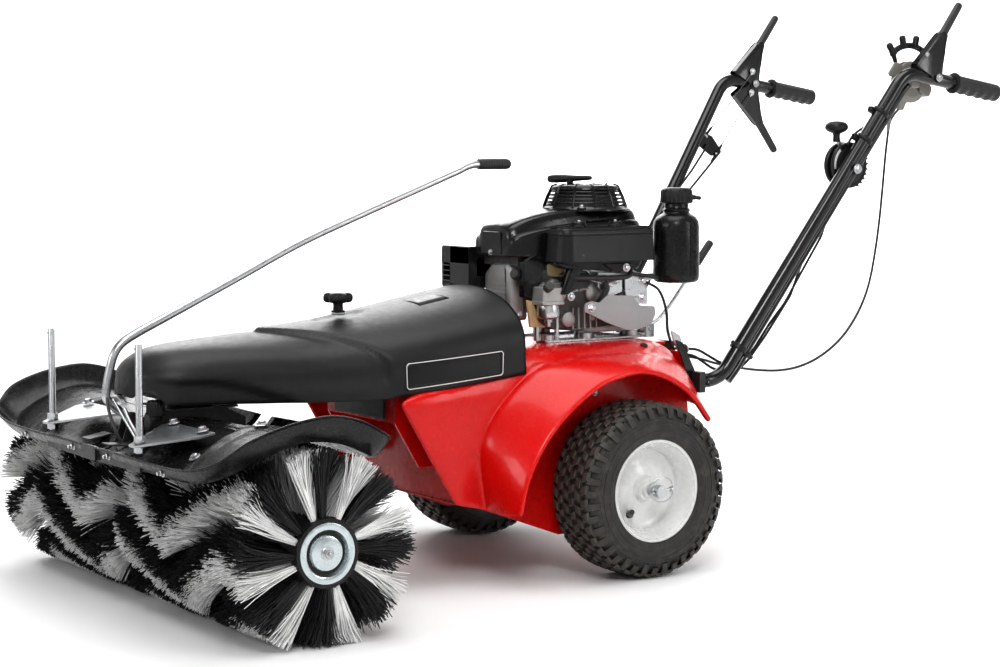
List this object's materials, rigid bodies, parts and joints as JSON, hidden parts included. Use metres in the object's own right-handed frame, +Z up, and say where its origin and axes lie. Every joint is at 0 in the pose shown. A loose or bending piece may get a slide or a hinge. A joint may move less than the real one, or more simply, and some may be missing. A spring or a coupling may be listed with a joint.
{
  "type": "walk behind sweeper",
  "caption": "Wheeled, engine driven walk behind sweeper: swivelling split roller brush under a splash guard, long belt cover, small engine and tall handlebar with hand levers.",
  "frame": {"origin": "middle of the machine's footprint box, on the floor that the wheels and the brush stand on", "axes": "+Y runs from the brush at the front to the handlebar grips at the back, +X is the operator's left hand side as built here and runs along the wheel axle, +Z is up"},
  "size_m": [1, 1.9144, 1.0967],
  "materials": {
    "red_paint": "gloss powder coat",
    "black_paint": "satin powder coat",
    "black_plastic": "grained moulded plastic",
    "engine_plastic": "semi gloss moulded plastic",
    "tyre_rubber": "matt tread rubber",
    "white_paint": "white enamel",
    "zinc": "bright zinc plate",
    "cast_aluminium": "as cast",
    "cast_iron": "cast and painted grey",
    "steel": "machined",
    "grip_rubber": "ribbed soft grip",
    "belt_rubber": "wrapped V belt",
    "cable_sleeve": "smooth cable outer",
    "bristle": "polypropylene bristle tufts, black and white",
    "grey_plastic": "moulded plastic",
    "grey_paint": "grey paint"
  },
  "bodies": {
    "chassis": {"axle_bearings": "cast_iron", "gearbox_housing": "cast_iron", "chassis_frame": "black_paint", "body_shell": "red_paint", "front_arm": "black_paint", "belt_cover": "black_plastic", "engine_block": "cast_aluminium", "engine_standoffs": "zinc", "valve_cover": "cast_aluminium", "engine_shroud": "engine_plastic", "recoil_cover": "engine_plastic", "starter_rope": "cable_sleeve", "brush_belt": "belt_rubber", "air_cleaner": "engine_plastic", "carburettor": "cast_aluminium", "muffler": "steel", "muffler_guard": "black_paint", "control_bracket": "grey_paint", "fuel_tank": "engine_plastic", "handle_bracket": "black_paint", "left_handle_tube": "black_paint", "right_handle_tube": "black_paint", "left_grip": "grip_rubber", "right_grip": "grip_rubber", "pivot_bolts": "zinc", "brace_rod": "black_paint", "quadrant_housing": "black_plastic", "dial_housing": "grey_plastic", "gear_lever_stand": "zinc", "control_cables": "cable_sleeve", "hanging_cable": "cable_sleeve"},
    "left_wheel": {"left_tyre": "tyre_rubber", "left_rim": "white_paint"},
    "right_wheel": {"right_tyre": "tyre_rubber", "right_rim": "white_paint"},
    "axle": {"drive_axle": "zinc"},
    "crank": {"crankshaft": "steel", "engine_pulley": "steel"},
    "head": {"leg_housing": "black_paint", "swivel_collar": "steel", "left_guard": "black_plastic", "right_guard": "black_plastic", "rod_brackets": "zinc", "stand_rods": "zinc"},
    "brush": {"brush_shaft": "steel", "brush_cores": "black_plastic", "left_bristles": "bristle", "right_bristles": "bristle"},
    "input": {"input_shaft": "steel", "brush_pulley": "steel"},
    "swivel_bar": {"swivel_lever": "zinc"},
    "left_clutch": {"left_lever": "black_paint"},
    "right_clutch": {"right_upper_lever": "black_paint"},
    "right_brake": {"right_lower_lever": "black_paint"},
    "throttle": {"quadrant_lever": "zinc"},
    "selector": {"dial_crown": "black_plastic"},
    "shifter": {"gear_lever": "zinc"},
    "starter": {"starter_grip": "grip_rubber"},
    "cap": {"fuel_cap": "engine_plastic"},
    "knob": {"cover_knob": "grip_rubber"}
  },
  "joints": [
    {"name": "left_wheel_spin", "type": "hinge", "parent": "chassis", "child": "left_wheel", "pos_m": [0.28, 0.0315, 0.165], "axis": [1, 0, 0], "continuous": true},
    {"name": "right_wheel_spin", "type": "hinge", "parent": "chassis", "child": "right_wheel", "pos_m": [-0.28, 0.0315, 0.165], "axis": [1, 0, 0], "continuous": true},
    {"name": "axle_spin", "type": "hinge", "parent": "chassis", "child": "axle", "pos_m": [0, 0.0315, 0.165], "axis": [1, 0, 0], "continuous": true},
    {"name": "crank_spin", "type": "hinge", "parent": "chassis", "child": "crank", "pos_m": [0, 0.1065, 0.4], "axis": [0, 0, 1], "continuous": true},
    {"name": "head_swivel", "type": "hinge", "parent": "chassis", "child": "head", "pos_m": [0, -0.7585, 0.366], "axis": [0, 0, 1], "range_deg": [-20, 20]},
    {"name": "brush_spin", "type": "hinge", "parent": "head", "child": "brush", "pos_m": [0, -0.7585, 0.155], "axis": [1, 0, 0], "continuous": true},
    {"name": "input_spin", "type": "hinge", "parent": "head", "child": "input", "pos_m": [0, -0.7585, 0.3], "axis": [0, 0, 1], "continuous": true},
    {"name": "bar_lift", "type": "hinge", "parent": "head", "child": "swivel_bar", "pos_m": [0, -0.8685, 0.32], "axis": [1, 0, 0], "range_deg": [0, 6]},
    {"name": "left_clutch_pull", "type": "hinge", "parent": "chassis", "child": "left_clutch", "pos_m": [0.285, 0.7665, 0.94064], "axis": [-1, 0, 0], "range_deg": [0, 45], "stiffness_Nm_per_rad": 1.2, "springref_deg": -28.65},
    {"name": "right_clutch_pull", "type": "hinge", "parent": "chassis", "child": "right_clutch", "pos_m": [-0.285, 0.7665, 0.94064], "axis": [-1, 0, 0], "range_deg": [0, 45], "stiffness_Nm_per_rad": 1.2, "springref_deg": -28.65},
    {"name": "right_brake_pull", "type": "hinge", "parent": "chassis", "child": "right_brake", "pos_m": [-0.285, 0.7665, 0.94064], "axis": [1, 0, 0], "range_deg": [0, 40], "stiffness_Nm_per_rad": 1.2, "springref_deg": -28.65},
    {"name": "throttle_turn", "type": "hinge", "parent": "chassis", "child": "throttle", "pos_m": [0.229, 0.5875, 0.765], "axis": [1, 0, 0], "range_deg": [-20, 50]},
    {"name": "selector_turn", "type": "hinge", "parent": "chassis", "child": "selector", "pos_m": [0.24, 0.7475, 0.933], "axis": [1, 0, 0], "range_deg": [-20, 20]},
    {"name": "gear_shift", "type": "hinge", "parent": "chassis", "child": "shifter", "pos_m": [0.08, 0.1975, 0.443], "axis": [1, 0, 0], "range_deg": [-12, 12]},
    {"name": "starter_pull", "type": "slide", "parent": "chassis", "child": "starter", "axis": [0, 0, 1], "range_m": [0, 0.3], "stiffness_N_per_m": 25, "springref_m": -0.02, "deforming": ["starter_rope"]},
    {"name": "fuel_cap_turn", "type": "hinge", "parent": "chassis", "child": "cap", "pos_m": [0.13, 0.2345, 0.7], "axis": [0, 0, 1], "range_deg": [0, 90]},
    {"name": "cover_knob_turn", "type": "hinge", "parent": "chassis", "child": "knob", "pos_m": [0, -0.4555, 0.52], "axis": [0, 0, 1], "continuous": true}
  ],
  "couplings": [
    {"joint": "input_spin", "follows": "brush_spin", "ratio": -4}
  ]
}
